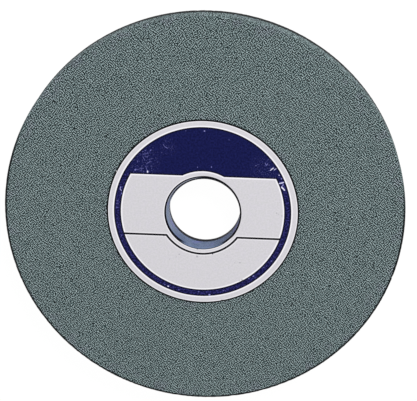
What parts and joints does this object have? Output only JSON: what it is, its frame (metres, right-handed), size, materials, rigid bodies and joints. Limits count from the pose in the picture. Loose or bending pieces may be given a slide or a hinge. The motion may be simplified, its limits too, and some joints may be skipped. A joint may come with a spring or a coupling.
{
  "type": "bench grinding wheel",
  "caption": "Flat round abrasive wheel for a bench grinder, with a plastic-bushed arbor bore and a paper blotter on each face, the front one printed in navy.",
  "frame": {"origin": "on the bore's axis, at the rear blotter's outer face, on which the wheel lies and where it seats on its flange", "axes": "+Z along the bore's axis, out of the printed face; +Y towards the top of the print; +X to the print's right"},
  "size_m": [0.1778, 0.1778, 0.0143],
  "materials": {
    "abrasive": "fine open grain, matt",
    "bush_plastic": "smooth moulded, satin",
    "printed_paper": "smooth paper printed in navy, lightly scuffed",
    "plain_paper": "smooth plain paper"
  },
  "bodies": {
    "root": {"abrasive_wheel": "abrasive", "bore_bush": "bush_plastic", "front_blotter": "printed_paper", "rear_blotter": "plain_paper"}
  },
  "joints": []
}
